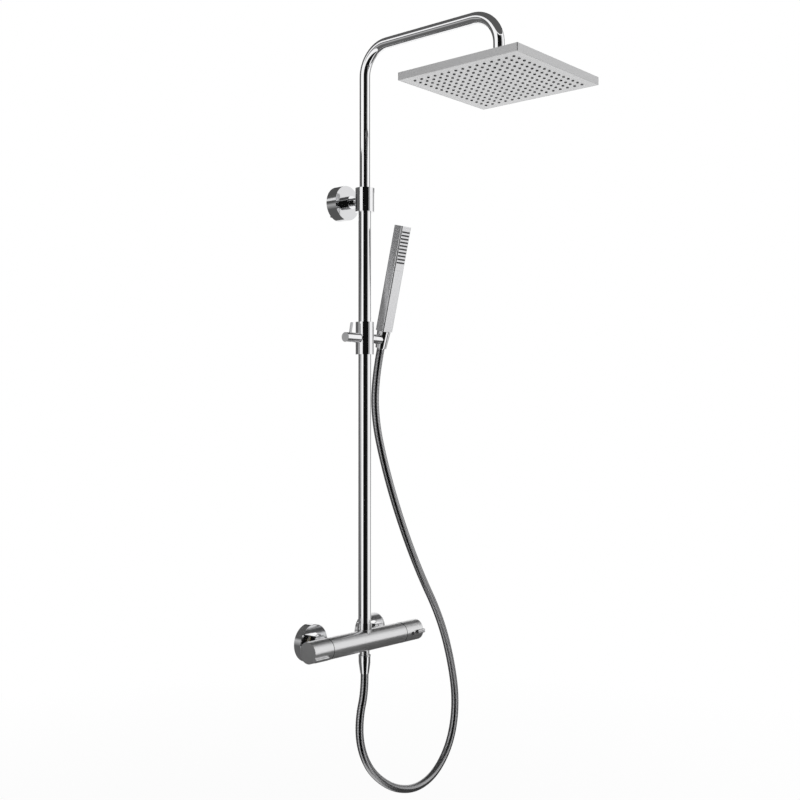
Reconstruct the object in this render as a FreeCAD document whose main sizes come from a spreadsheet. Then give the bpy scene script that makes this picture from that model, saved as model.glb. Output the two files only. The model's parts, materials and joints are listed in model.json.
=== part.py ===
import FreeCAD, Part
import math
import os
import re
import Sketcher

# Rainfall shower column in millimetres: +Z up, +Y into the wall, +X along the wall.
# The origin lies on the wall plane, midway between the two water inlets.

doc = FreeCAD.newDocument("ShowerColumn")

sizes = {
    "wall_offset": 63.0,        # riser axis to wall
    "inlet_spacing": 150.0,     # standard centres of the wall inlets
    "face_gap": 0.3,            # between pieces that move past each other
    "running_gap": 0.05,        # radial clearance of a turning or sliding fit
    "seat_gap": 0.1,            # radial clearance between pieces that stay put
    # riser and arm
    "lower_tube_dia": 22.0,
    "lower_tube_wall": 1.2,
    "lower_tube_top": 757.0,
    "upper_tube_dia": 18.0,
    "upper_tube_wall": 1.0,
    "upper_tube_bottom": 470.0,
    "arm_height": 1021.0,
    "arm_reach": 284.0,
    "bend_radius": 50.0,
    "drop_end": 956.0,
    "guide_length": 10.0,
    "bush_length": 22.0,
    "bush_flange": 2.0,
    "seal_width": 3.0,
    # wall bracket
    "bracket_height": 758.5,
    "collar_dia": 33.0,
    "collar_length": 41.0,
    "cover_dia": 60.0,
    "cover_depth": 22.0,
    "cover_wall": 1.5,
    "base_dia": 50.0,
    "base_thick": 4.0,
    "stem_dia": 14.0,
    "stem_root_dia": 23.0,
    "stem_root_end": 33.0,
    "bracket_screw_spacing": 38.0,
    "wall_screw_dia": 4.0,
    "wall_screw_shank": 3.0,
    "wall_screw_length": 18.0,
    "grub_dia": 5.0,
    # mixer
    "mixer_dia": 36.0,
    "mixer_half": 93.0,
    "mixer_bore": 26.0,
    "cartridge_length": 48.0,
    "spindle_dia": 7.0,
    "spindle_length": 52.0,
    "spindle_depth": 22.0,
    "handle_length": 44.0,
    "handle_wall": 2.5,
    "handle_cap": 2.0,
    "hub_dia": 13.0,
    "lug_width": 7.0,
    "lug_rise": 4.0,
    "flow_lug_length": 30.0,
    "temperature_lug_length": 18.0,
    "button_dia": 6.5,
    "button_place": 29.0,
    "button_travel": 1.5,
    "boss_dia": 25.0,
    "boss_top": 20.0,
    "riser_nut_top": 31.0,
    "riser_port_dia": 14.0,
    "outlet_neck_dia": 17.0,
    "outlet_ring_dia": 21.0,
    "outlet_thread_dia": 18.0,
    "outlet_port_dia": 10.0,
    # wall connections
    "flange_dia": 65.0,
    "flange_depth": 15.0,
    "flange_wall": 1.5,
    "inlet_pipe_dia": 20.8,
    "inlet_pipe_bore": 13.0,
    "inlet_pipe_length": 18.0,
    "inlet_boss_dia": 21.0,
    "union_dia": 25.0,
    "union_end": 20.0,
    "filter_thick": 3.0,
    "union_nut_width": 30.0,
    "union_nut_length": 17.0,
    # slider and holder
    "slider_height": 520.0,
    "slider_dia": 31.5,
    "slider_length": 56.0,
    "slider_lip": 2.0,
    "liner_dia": 26.4,
    "knob_dia": 16.6,
    "knob_end": 49.0,
    "clamp_screw_dia": 7.0,
    "lever_width": 4.0,
    "lever_thick": 3.0,
    "lever_rise": 17.5,
    "lever_place": 38.0,
    "lever_lean": 17.5,
    "neck_dia": 16.4,
    "neck_seam": 20.0,
    "pin_dia": 6.0,
    "cup_place": 46.0,
    "cup_length": 30.0,
    "cup_top_dia": 24.4,
    "cup_bottom_dia": 19.6,
    "cup_wall": 2.0,
    "cup_slot": 14.6,
    "holder_tilt": 13.7,
    # hand shower and hose
    "stick_width": 25.0,
    "stick_depth": 19.0,
    "stick_length": 185.0,
    "stick_corner": 2.5,
    "plate_width": 21.0,
    "plate_length": 74.0,
    "plate_thick": 2.0,
    "plate_margin": 3.0,
    "row_pitch": 5.9,
    "row_count": 10.0,
    "row_width": 18.0,
    "row_height": 2.6,
    "row_rise": 1.0,
    "row_first": 10.0,
    "chamber_width": 14.0,
    "chamber_depth": 9.0,
    "spigot_dia": 15.4,
    "spigot_length": 14.0,
    "spigot_bore": 9.0,
    "hose_dia": 14.0,
    "hose_nut_end": 17.0,
    "lower_nut_top": 27.0,
    "lower_nut_end": 56.0,
    "nut_wall": 1.2,
    # rain head
    "head_side": 225.0,
    "head_thick": 12.0,
    "head_plane": 908.7,
    "head_corner": 1.5,
    "face_thick": 2.0,
    "shell_wall": 1.5,
    "nozzle_pitch": 13.33,
    "nozzle_rows": 15.0,
    "nozzle_dia": 4.2,
    "nozzle_rise": 0.8,
    "nozzle_hole": 4.8,
    "mat_thick": 2.0,
    "ball_dia": 18.0,
    "ball_height": 939.0,
    "ring_thick": 1.8,
    "neck_stem_dia": 9.6,
    "socket_dia": 30.0,
    "socket_lip": 7.0,
    "socket_opening": 16.6,
    "centre_screw_dia": 4.0,
}

sheet = doc.addObject("Spreadsheet::Sheet", "Sizes")
for row, (name, value) in enumerate(sizes.items(), start=1):
    sheet.set("A%d" % row, name)
    sheet.set("B%d" % row, str(value))
    sheet.setAlias("B%d" % row, name)
doc.recompute()


def linked(text):
    # every sheet name has an underscore in it, which no expression function has
    return re.sub(r"\b([a-z]+(?:_[a-z]+)+)\b", r"Sizes.\1", text)


def value(text):
    return float(sheet.evalExpression(linked(text)))


subParts = []


def keep(piece):
    subParts.append(piece)
    return piece


def bind(piece, **formulas):
    # a double underscore in a property's name stands for a dot
    for path, text in formulas.items():
        piece.setExpression(path.replace("__", "."), linked(text))


def place(piece, x="0", y="0", z="0", turn=None):
    if turn is not None:
        piece.Placement = FreeCAD.Placement(FreeCAD.Vector(), turn)
    bind(piece, Placement__Base__x=x, Placement__Base__y=y, Placement__Base__z=z)
    return piece


def about(x, y, z, angle):
    return FreeCAD.Rotation(FreeCAD.Vector(x, y, z), angle)


alongX = about(0, 1, 0, 90)
alongMinusX = about(0, 1, 0, -90)
alongY = about(1, 0, 0, -90)
alongMinusY = about(1, 0, 0, 90)


def sketchOn(body, role, name, height="0"):
    sketch = body.newObject("Sketcher::SketchObject", name)
    plane = next(item for item in body.Origin.OriginFeatures if item.Role == role)
    sketch.AttachmentSupport = [(plane, "")]
    sketch.MapMode = "FlatFace"
    bind(sketch, AttachmentOffset__Base__z=height)
    return sketch


def outlineIn(sketch, corners):
    # a closed outline of straight lines, each corner tied to the sheet by its two distances
    points = [FreeCAD.Vector(value(x), value(y), 0) for x, y in corners]
    for start, end in zip(points, points[1:] + points[:1]):
        sketch.addGeometry(Part.LineSegment(start, end), False)
    count = len(points)
    for index in range(count):
        sketch.addConstraint(Sketcher.Constraint("Coincident", index, 2, (index + 1) % count, 1))
    for index, (x, y) in enumerate(corners):
        for kind, text, number in (("DistanceX", x, points[index].x), ("DistanceY", y, points[index].y)):
            rule = sketch.addConstraint(Sketcher.Constraint(kind, -1, 1, index, 1, number))
            sketch.setExpression("Constraints[%d]" % rule, linked(text))


def turned(name, corners):
    # a body turned about its own Z axis, from corners given as (radius, height)
    body = doc.addObject("PartDesign::Body", name)
    sketch = sketchOn(body, "XZ_Plane", name + "_outline")
    outlineIn(sketch, corners)
    turn = body.newObject("PartDesign::Revolution", name + "_turn")
    turn.Profile = sketch
    turn.ReferenceAxis = (sketch, ["V_Axis"])
    turn.Angle = 360
    sketch.Visibility = False
    doc.recompute()
    return body


def ring(name, inner, outer, low, high):
    return turned(name, [(inner, low), (outer, low), (outer, high), (inner, high)])


def rod(name, radius, low, high):
    return ring(name, "0", radius, low, high)


def padded(name, corners, low, height, corner=None):
    # a body padded up from an outline of (x, y) corners, its upright edges rounded on demand
    body = doc.addObject("PartDesign::Body", name)
    sketch = sketchOn(body, "XY_Plane", name + "_outline", low)
    outlineIn(sketch, corners)
    pad = body.newObject("PartDesign::Pad", name + "_pad")
    pad.Profile = sketch
    bind(pad, Length=height)
    doc.recompute()
    if corner:
        upright = ["Edge%d" % (index + 1) for index, edge in enumerate(pad.Shape.Edges)
                   if abs(abs(edge.tangentAt(edge.FirstParameter).z) - 1) < 1e-6]
        rounding = body.newObject("PartDesign::Fillet", name + "_rounding")
        rounding.Base = (pad, upright)
        bind(rounding, Radius=corner)
        doc.recompute()
    return body


def slab(name, x1, x2, y1, y2, low, height, corner=None):
    return padded(name, [(x1, y1), (x2, y1), (x2, y2), (x1, y2)], low, height, corner)


def joined(name, *pieces):
    whole = doc.addObject("Part::MultiFuse", name)
    whole.Shapes = list(pieces)
    doc.recompute()
    return whole


def less(name, base, *tools):
    tool = tools[0] if len(tools) == 1 else joined(name + "_tools", *tools)
    whole = doc.addObject("Part::Cut", name)
    whole.Base = base
    whole.Tool = tool
    doc.recompute()
    return whole


riserY = "-wall_offset"
buttonDrop = 5      # degrees below the horizontal at which the stop button faces


# ---- the riser: a fixed lower tube with the bent arm sliding and turning inside it

def makeLowerTube():
    inner = "lower_tube_dia / 2 - lower_tube_wall"
    tube = ring("lower_tube", inner, "lower_tube_dia / 2", "boss_top - 6", "lower_tube_top")
    keep(place(tube, y=riserY))


def makeUpperTube():
    # a hollow profile piped along the riser, round the bend, out along the arm and down
    body = doc.addObject("PartDesign::Body", "upper_tube")
    section = sketchOn(body, "XY_Plane", "upper_tube_section", "upper_tube_bottom")
    for radius in ("upper_tube_dia / 2", "upper_tube_dia / 2 - upper_tube_wall"):
        outline = Part.Circle(FreeCAD.Vector(), FreeCAD.Vector(0, 0, 1), value(radius))
        circle = section.addGeometry(outline)
        section.addConstraint(Sketcher.Constraint("Coincident", circle, 3, -1, 1))
        rule = section.addConstraint(Sketcher.Constraint("Radius", circle, value(radius)))
        section.setExpression("Constraints[%d]" % rule, linked(radius))
    route = sketchOn(body, "YZ_Plane", "upper_tube_route")
    low, top, reach = value("upper_tube_bottom"), value("arm_height"), value("arm_reach")
    bend, drop = value("bend_radius"), value("drop_end")
    up = FreeCAD.Vector(0, 0, 1)
    near = Part.Circle(FreeCAD.Vector(-bend, top - bend, 0), up, bend)
    far = Part.Circle(FreeCAD.Vector(bend - reach, top - bend, 0), up, bend)
    route.addGeometry(Part.LineSegment(FreeCAD.Vector(0, low, 0), FreeCAD.Vector(0, top - bend, 0)))
    route.addGeometry(Part.ArcOfCircle(near, 0, math.pi / 2))
    route.addGeometry(Part.LineSegment(FreeCAD.Vector(-bend, top, 0), FreeCAD.Vector(bend - reach, top, 0)))
    route.addGeometry(Part.ArcOfCircle(far, math.pi / 2, math.pi))
    route.addGeometry(Part.LineSegment(FreeCAD.Vector(-reach, top - bend, 0), FreeCAD.Vector(-reach, drop, 0)))
    for first, end, second, start in ((0, 2, 1, 1), (1, 2, 2, 1), (2, 2, 3, 1), (3, 2, 4, 1)):
        route.addConstraint(Sketcher.Constraint("Tangent", first, end, second, start))
    route.addConstraint(Sketcher.Constraint("PointOnObject", 0, 1, -2))
    route.addConstraint(Sketcher.Constraint("Vertical", 0))
    route.addConstraint(Sketcher.Constraint("Horizontal", 2))
    route.addConstraint(Sketcher.Constraint("Vertical", 4))
    driven = (("DistanceY", 0, 1, "upper_tube_bottom"), ("DistanceY", 2, 1, "arm_height"),
              ("DistanceY", 4, 2, "drop_end"), ("DistanceX", 4, 2, "-arm_reach"))
    for kind, line, end, text in driven:
        rule = route.addConstraint(Sketcher.Constraint(kind, -1, 1, line, end, value(text)))
        route.setExpression("Constraints[%d]" % rule, linked(text))
    for arc in (1, 3):
        rule = route.addConstraint(Sketcher.Constraint("Radius", arc, bend))
        route.setExpression("Constraints[%d]" % rule, linked("bend_radius"))
    pipe = body.newObject("PartDesign::AdditivePipe", "upper_tube_pipe")
    pipe.Profile = section
    pipe.Spine = (route, ["Edge%d" % (index + 1) for index in range(5)])
    doc.recompute()
    keep(place(body, y=riserY))


def makeTelescope():
    tubeInner = "lower_tube_dia / 2 - lower_tube_wall"
    guideOuter = tubeInner + " - running_gap"
    spigot = "upper_tube_dia / 2 - upper_tube_wall - seat_gap"
    end = "upper_tube_bottom"
    guide = turned("guide_ring", [
        ("upper_tube_dia / 3", end + " - guide_length"), (guideOuter, end + " - guide_length"),
        (guideOuter, end + " - seat_gap"), (spigot, end + " - seat_gap"),
        (spigot, end + " + guide_length"), ("upper_tube_dia / 3", end + " + guide_length")])
    keep(place(guide, y=riserY))
    top = "lower_tube_top"
    bushInner = "upper_tube_dia / 2 + running_gap"
    bushOuter = tubeInner + " - seat_gap"
    sealLow = top + " - bush_length - seal_width"
    bush = turned("telescope_bush", [
        (bushInner, top + " - bush_length"), (bushOuter, top + " - bush_length"), (bushOuter, top),
        ("lower_tube_dia / 2", top), ("lower_tube_dia / 2", top + " + bush_flange"),
        (bushInner, top + " + bush_flange")])
    keep(place(bush, y=riserY))
    seal = ring("telescope_seal", bushInner, bushOuter, sealLow, top + " - bush_length")
    keep(place(seal, y=riserY))


# ---- the wall bracket near the top of the lower tube

def makeBracket():
    half = "collar_length / 2"
    change = "lower_tube_top + bush_flange - bracket_height"
    lowBore = "lower_tube_dia / 2 + seat_gap"
    highBore = "upper_tube_dia / 2 + face_gap"
    sleeve = turned("bracket_sleeve", [
        (lowBore, "-" + half), ("collar_dia / 2", "-" + half), ("collar_dia / 2", half),
        (highBore, half), (highBore, change + " + seat_gap"), (lowBore, change + " + seat_gap")])
    grubHeight = "collar_length / 4"
    grubHole = rod("grub_hole", "grub_dia / 2 + seat_gap", "lower_tube_dia / 2 - 2", "collar_dia")
    place(grubHole, z=grubHeight + " * -1", turn=alongX)
    collar = less("bracket_collar", sleeve, grubHole)
    keep(place(collar, y=riserY, z="bracket_height"))
    grub = rod("bracket_grub", "grub_dia / 2", "lower_tube_dia / 2 + running_gap", "collar_dia / 2 - 0.4")
    keep(place(grub, y=riserY, z="bracket_height - " + grubHeight, turn=alongX))

    bossDepth = "base_thick * 3"
    stemBore = "stem_root_dia / 2 + seat_gap"
    disc = turned("bracket_disc", [
        ("0", "0"), ("base_dia / 2", "0"), ("base_dia / 2", "base_thick"),
        ("stem_root_dia / 2 + 3", "base_thick"), ("stem_root_dia / 2 + 3", bossDepth),
        (stemBore, bossDepth), (stemBore, "base_thick"), ("0", "base_thick")])
    holes = []
    screws = []
    for side, sign in (("lower", "-"), ("upper", "")):
        across = sign + "bracket_screw_spacing / 2"
        hole = rod("bracket_hole_" + side, "wall_screw_dia / 2 + seat_gap", "-1", "base_thick + 1")
        holes.append(place(hole, y=across))
        screw = turned("wall_screw_" + side, [
            ("0", "-wall_screw_length"), ("wall_screw_dia / 2", "-wall_screw_length"),
            ("wall_screw_dia / 2", "0"), ("wall_screw_shank / 2", "0"),
            ("wall_screw_shank / 2", "base_thick"), ("wall_screw_dia * 0.9", "base_thick"),
            ("wall_screw_dia * 0.9", "base_thick + 2.4"), ("0", "base_thick + 2.4")])
        screws.append(place(screw, y=across))
    base = less("bracket_base", disc, *holes)
    keep(place(base, z="bracket_height", turn=alongMinusY))
    pair = doc.addObject("Part::Compound", "bracket_wall_screws")
    pair.Links = screws
    keep(place(pair, z="bracket_height", turn=alongMinusY))

    shell = turned("bracket_cover", [
        ("cover_dia / 2 - cover_wall", "0"), ("cover_dia / 2", "0"), ("cover_dia / 2", "cover_depth"),
        (stemBore, "cover_depth"), (stemBore, "cover_depth - cover_wall"),
        ("cover_dia / 2 - cover_wall", "cover_depth - cover_wall")])
    keep(place(shell, z="bracket_height", turn=alongMinusY))

    bar = turned("stem_bar", [
        ("0", "base_thick + seat_gap"), ("stem_root_dia / 2", "base_thick + seat_gap"),
        ("stem_root_dia / 2", "stem_root_end"), ("stem_dia / 2", "stem_root_end"),
        ("stem_dia / 2", "wall_offset - lower_tube_dia / 2"), ("0", "wall_offset - lower_tube_dia / 2")])
    place(bar, z="bracket_height", turn=alongMinusY)
    saddle = rod("stem_saddle", "collar_dia / 2 + running_gap", "bracket_height - collar_length",
                 "bracket_height + collar_length")
    keep(less("bracket_stem", bar, place(saddle, y=riserY)))


# ---- the mixer: a tube body with a cartridge and a handle at each end

def makeMixerBody():
    barrel = ring("mixer_barrel", "mixer_bore / 2", "mixer_dia / 2", "-mixer_half", "mixer_half")
    place(barrel, turn=alongX)
    solids = [barrel]
    cuts = []
    reach = "wall_offset - union_end - filter_thick - 0.3"
    for side, sign in (("left", "-"), ("right", "")):
        across = sign + "inlet_spacing / 2"
        boss = turned("inlet_boss_" + side, [
            ("0", "mixer_bore / 2 + 1"), ("inlet_boss_dia / 2", "mixer_bore / 2 + 1"),
            ("inlet_boss_dia / 2", reach + " - 3"), ("union_dia / 2 - seat_gap", reach + " - 3"),
            ("union_dia / 2 - seat_gap", reach), ("0", reach)])
        solids.append(place(boss, x=across, turn=alongY))
        port = rod("inlet_port_" + side, "inlet_boss_dia / 2 - 2.5", "mixer_bore / 2 - 2", "wall_offset")
        cuts.append(place(port, x=across, turn=alongY))
    neck = "-outlet_thread_dia"
    riserBoss = rod("riser_boss", "boss_dia / 2", "mixer_bore / 2 + 1", "boss_top")
    outletBoss = turned("outlet_boss", [
        ("0", neck + " * 2"), ("outlet_thread_dia / 2", neck + " * 2"),
        ("outlet_thread_dia / 2", "-lower_nut_top"), ("outlet_ring_dia / 2", "-lower_nut_top + seat_gap"),
        ("outlet_ring_dia / 2", "-lower_nut_top + 2.6"), ("outlet_neck_dia / 2", "-lower_nut_top + 2.6"),
        ("outlet_neck_dia / 2", "-mixer_bore / 2 - 1"), ("0", "-mixer_bore / 2 - 1")])
    riserPort = turned("riser_port", [
        ("0", "mixer_bore / 2 - 2"), ("riser_port_dia / 2", "mixer_bore / 2 - 2"),
        ("riser_port_dia / 2", "boss_top - 6"), ("lower_tube_dia / 2 + seat_gap", "boss_top - 6"),
        ("lower_tube_dia / 2 + seat_gap", "boss_top + 1"), ("0", "boss_top + 1")])
    outletPort = rod("outlet_port", "outlet_port_dia / 2", neck + " * 2 - 1", "-mixer_bore / 2 + 2")
    solids += [riserBoss, outletBoss]
    cuts += [riserPort, outletPort]
    body = less("mixer_body", joined("mixer_casting", *solids), *cuts)
    keep(place(body, y=riserY))

    tubeFit = "lower_tube_dia / 2 + seat_gap"
    nut = turned("riser_nut", [
        ("boss_dia / 2 - 0.4", "boss_top + seat_gap"), ("boss_dia / 2", "boss_top + seat_gap"),
        ("boss_dia / 2", "riser_nut_top"), (tubeFit, "riser_nut_top"), (tubeFit, "boss_top + 3"),
        ("boss_dia / 2 - 0.4", "boss_top + 3")])
    keep(place(nut, y=riserY))
    seal = ring("riser_seal", "lower_tube_dia / 2 + running_gap", "boss_dia / 2 - 0.5",
                "boss_top + seat_gap", "boss_top + 2.8")
    keep(place(seal, y=riserY))


def makeWallUnions():
    # both sides alike: a pipe into the wall, a union, its nut, a filter, a check valve and a flange
    for side, sign in (("left", "-"), ("right", "")):
        across = sign + "inlet_spacing / 2"
        union = turned(side + "_union", [
            ("inlet_pipe_bore / 2", "-inlet_pipe_length"), ("inlet_pipe_dia / 2", "-inlet_pipe_length"),
            ("inlet_pipe_dia / 2", "0"), ("union_dia / 2", "0"), ("union_dia / 2", "union_end"),
            ("inlet_pipe_bore / 2", "union_end")])
        keep(place(union, x=across, turn=alongMinusY))
        filterLow = "union_end + seat_gap"
        strainer = ring(side + "_filter", "inlet_pipe_bore / 2", "union_dia / 2 - seat_gap",
                        filterLow, filterLow + " + filter_thick")
        keep(place(strainer, x=across, turn=alongMinusY))

        corners = []
        for step in range(6):
            angle = 60 * step
            corners.append(("union_nut_width / sqrt(3) * cos(%d)" % angle,
                            "union_nut_width / sqrt(3) * sin(%d)" % angle))
        far = "union_end + filter_thick + 6.3"
        hexagon = padded(side + "_nut_hexagon", corners, far + " - union_nut_length", "union_nut_length")
        bore = turned(side + "_nut_bore", [
            ("0", "0"), ("union_dia / 2 + seat_gap", "0"), ("union_dia / 2 + seat_gap", far + " - 2.9"),
            ("inlet_boss_dia / 2 + seat_gap", far + " - 2.9"),
            ("inlet_boss_dia / 2 + seat_gap", "wall_offset"), ("0", "wall_offset")])
        nut = less(side + "_union_nut", hexagon, bore)
        keep(place(nut, x=across, turn=alongMinusY))

        valveLow = "union_end + filter_thick + 0.5"
        valve = ring(side + "_check_valve", "2", "inlet_boss_dia / 2 - 2.5 - seat_gap",
                     valveLow, valveLow + " + 11")
        keep(place(valve, x=across, turn=alongMinusY))

        hole = "union_nut_width / sqrt(3) + 1"
        flange = turned(side + "_flange", [
            ("flange_dia / 2 - flange_wall", "0"), ("flange_dia / 2", "0"), ("flange_dia / 2", "flange_depth"),
            (hole, "flange_depth"), (hole, "flange_depth - flange_wall"),
            ("flange_dia / 2 - flange_wall", "flange_depth - flange_wall")])
        keep(place(flange, x=across, turn=alongMinusY))


def makeHandle(name, turn, lugTurn, lugLength, buttonTurn=None):
    # the spindle turns in the cartridge and carries the handle, held on by a screw under a cap
    boreEnd = "mixer_half - spindle_depth"
    window = "inlet_spacing / 2"
    inside = "mixer_bore / 2 - seat_gap"
    start = "mixer_half + face_gap"
    end = "(mixer_half + face_gap + handle_length)"
    cartridge = turned(name + "_cartridge", [
        ("0", "mixer_half - cartridge_length"), (inside, "mixer_half - cartridge_length"),
        (inside, window + " - 9"), ("mixer_bore / 2 - 3.5", window + " - 9"),
        ("mixer_bore / 2 - 3.5", window + " + 9"), (inside, window + " + 9"), (inside, "mixer_half"),
        ("spindle_dia / 2 + running_gap", "mixer_half"), ("spindle_dia / 2 + running_gap", boreEnd),
        ("0", boreEnd)])
    keep(place(cartridge, y=riserY, turn=turn))

    spindleEnd = boreEnd + " + face_gap + spindle_length"
    spindle = turned(name + "_spindle", [
        ("0", boreEnd + " + face_gap"), ("spindle_dia / 2", boreEnd + " + face_gap"),
        ("spindle_dia / 2", spindleEnd), ("2.1", spindleEnd), ("2.1", spindleEnd + " - 9"),
        ("0", spindleEnd + " - 9")])
    keep(place(spindle, y=riserY, turn=turn))

    plate = end + " - handle_cap - 3"
    capEdge = "mixer_dia / 2 - 2.2"
    shell = turned(name + "_shell", [
        ("spindle_dia / 2 + seat_gap", start + " + handle_length / 4"),
        ("hub_dia / 2", start + " + handle_length / 4"), ("hub_dia / 2", plate),
        ("mixer_dia / 2 - handle_wall", plate), ("mixer_dia / 2 - handle_wall", start),
        ("mixer_dia / 2", start), ("mixer_dia / 2", end), (capEdge, end), (capEdge, end + " - handle_cap"),
        ("4", end + " - handle_cap"), ("4", end + " - handle_cap - 2"), ("2.1", end + " - handle_cap - 2"),
        ("2.1", plate + " - 2.5"), ("spindle_dia / 2 + seat_gap", plate + " - 2.5")])
    lug = slab(name + "_lug", "-lug_width / 2", "lug_width / 2", "-mixer_dia / 2 - lug_rise",
               "-mixer_dia / 2 + handle_wall / 2", end + " - " + lugLength, lugLength, "lug_width / 4")
    lug.Placement = FreeCAD.Placement(FreeCAD.Vector(), lugTurn)
    grip = joined(name + "_grip", shell, lug)
    if buttonTurn is not None:
        middle = end + " - button_place"
        hole = rod(name + "_button_hole", "button_dia / 2 + seat_gap",
                   "mixer_dia / 2 - handle_wall - 1", "mixer_dia")
        place(hole, z=middle, turn=buttonTurn)
        grip = less(name + "_drilled", grip, hole)
    handle = doc.addObject("Part::Compound", name + "_handle")
    handle.Links = [grip]
    keep(place(handle, y=riserY, turn=turn))

    cap = rod(name + "_cap", capEdge + " - seat_gap", end + " - handle_cap + seat_gap", end)
    keep(place(cap, y=riserY, turn=turn))
    screwTop = end + " - handle_cap - seat_gap"
    screw = turned(name + "_screw", [
        ("0", spindleEnd + " - 8"), ("2", spindleEnd + " - 8"), ("2", screwTop + " - 1.9"),
        ("3.6", screwTop + " - 1.9"), ("3.6", screwTop), ("0", screwTop)])
    keep(place(screw, y=riserY, turn=turn))


def makeHandles():
    # both lugs point to the front, the flow lug lower down; the stop button is beside its lug
    makeHandle("flow", alongMinusX, about(0, 0, 1, -33), "flow_lug_length")
    makeHandle("temperature", alongX, about(0, 0, 1, 0), "temperature_lug_length",
               about(0, 0, 1, buttonDrop) * about(1, 0, 0, 90))
    button = turned("stop_button", [
        ("0", "mixer_dia / 2 - handle_wall - button_travel"),
        ("button_dia / 2", "mixer_dia / 2 - handle_wall - button_travel"),
        ("button_dia / 2", "mixer_dia / 2 + 0.3"), ("0", "mixer_dia / 2 + 0.3")])
    keep(place(button, x="mixer_half + face_gap + handle_length - button_place", y=riserY,
               turn=about(1, 0, 0, 90 + buttonDrop)))


# ---- the slider on the lower tube, with its clamp and the tilting holder

def makeSlider():
    half = "slider_length / 2"
    linerFit = "liner_dia / 2 + seat_gap"
    tubeClear = "lower_tube_dia / 2 + face_gap"
    liner = ring("slider_liner", "lower_tube_dia / 2 + running_gap", "liner_dia / 2",
                 "-slider_length / 2 + slider_lip + face_gap", "slider_length / 2 - slider_lip - face_gap")
    keep(place(liner, y=riserY, z="slider_height"))
    sleeve = turned("slider_sleeve", [
        (tubeClear, "-" + half), ("slider_dia / 2", "-" + half), ("slider_dia / 2", half), (tubeClear, half),
        (tubeClear, half + " - slider_lip"), (linerFit, half + " - slider_lip"),
        (linerFit, "-" + half + " + slider_lip"), (tubeClear, "-" + half + " + slider_lip")])
    boss = rod("slider_boss", "neck_dia / 2", "liner_dia / 2 + 1", "neck_seam")
    place(boss, turn=alongX)
    pinHole = rod("slider_pin_hole", "pin_dia / 2 + seat_gap", "liner_dia / 2 - 1", "slider_dia")
    place(pinHole, turn=alongX)
    screwHole = rod("slider_screw_hole", "clamp_screw_dia / 2 + running_gap", "liner_dia / 2 - 1",
                    "slider_dia")
    place(screwHole, turn=alongMinusX)
    collar = less("slider_collar", joined("slider_shell", sleeve, boss), pinHole, screwHole)
    keep(place(collar, y=riserY, z="slider_height"))

    pin = turned("holder_pin", [
        ("0", "liner_dia / 2 + face_gap"), ("pin_dia / 2", "liner_dia / 2 + face_gap"),
        ("pin_dia / 2", "cup_place - cup_top_dia / 2"), ("0", "cup_place - cup_top_dia / 2")])
    keep(place(pin, y=riserY, z="slider_height", turn=alongX))

    start = "slider_dia / 2 + face_gap"
    screw = rod("clamp_screw", "clamp_screw_dia / 2", "liner_dia / 2 + face_gap", start + " + 14")
    keep(place(screw, y=riserY, z="slider_height", turn=alongMinusX))
    knobBore = "clamp_screw_dia / 2 + seat_gap"
    knob = turned("clamp_knob", [
        (knobBore, start), ("knob_dia / 2", start), ("knob_dia / 2", "knob_end"), ("0", "knob_end"),
        ("0", start + " + 14.3"), (knobBore, start + " + 14.3")])
    keep(place(knob, y=riserY, z="slider_height", turn=alongMinusX))

    # the lever stands on the knob, leaning towards the riser, its foot sunk to the knob's skin
    lever = padded("lever_bar", [
        ("-lever_width / 2", "0"), ("lever_width / 2", "0"),
        ("lever_width / 2 + lever_rise * tan(lever_lean)", "knob_dia / 2 + lever_rise"),
        ("-lever_width / 2 + lever_rise * tan(lever_lean)", "knob_dia / 2 + lever_rise")],
        "-lever_thick / 2", "lever_thick")
    place(lever, x="-lever_place", turn=about(1, 0, 0, 90))
    foot = rod("lever_foot", "knob_dia / 2 + running_gap", "0", "knob_end + 10")
    place(foot, turn=alongMinusX)
    blade = less("clamp_lever", lever, foot)
    keep(place(blade, y=riserY, z="slider_height"))


def onHolder(piece):
    # the holder's own frame: its pivot on the slider's cross axis, tilted towards the room
    place(piece, x="cup_place", y=riserY, z="slider_height", turn=about(1, 0, 0, value("holder_tilt")))
    bind(piece, Placement__Rotation__Angle="holder_tilt")
    return keep(piece)


def cupRadius(height, inward):
    # the cup's outer radius at a height above its pivot, taken inward by a wall
    slope = "(cup_top_dia - cup_bottom_dia) / 2 / cup_length"
    return "(cup_top_dia + cup_bottom_dia) / 4 + (%s) * %s - (%s)" % (height, slope, inward)


def makeHolder():
    low, high = "-cup_length / 2", "cup_length / 2"
    cone = turned("cup_cone", [
        ("0", low), (cupRadius(low, "0"), low), (cupRadius(high, "0"), high), ("0", high)])
    neck = rod("cup_neck", "neck_dia / 2", "neck_seam + face_gap - cup_place", "-cup_top_dia / 4")
    place(neck, turn=alongX)
    hollow = turned("cup_hollow", [
        ("0", low + " - 1"), (cupRadius(low + " - 1", "cup_wall"), low + " - 1"),
        (cupRadius(high + " + 1", "cup_wall"), high + " + 1"), ("0", high + " + 1")])
    slot = slab("cup_slot_bar", "0", "cup_top_dia", "-cup_slot / 2", "cup_slot / 2", low + " - 1",
                "cup_length + 2")
    pinHole = rod("cup_pin_hole", "pin_dia / 2 + running_gap", "-cup_place",
                  "-cup_top_dia / 2 + face_gap + 0.1")
    place(pinHole, turn=alongX)
    onHolder(less("holder_cup", joined("cup_body", cone, neck), hollow, slot, pinHole))


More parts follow.
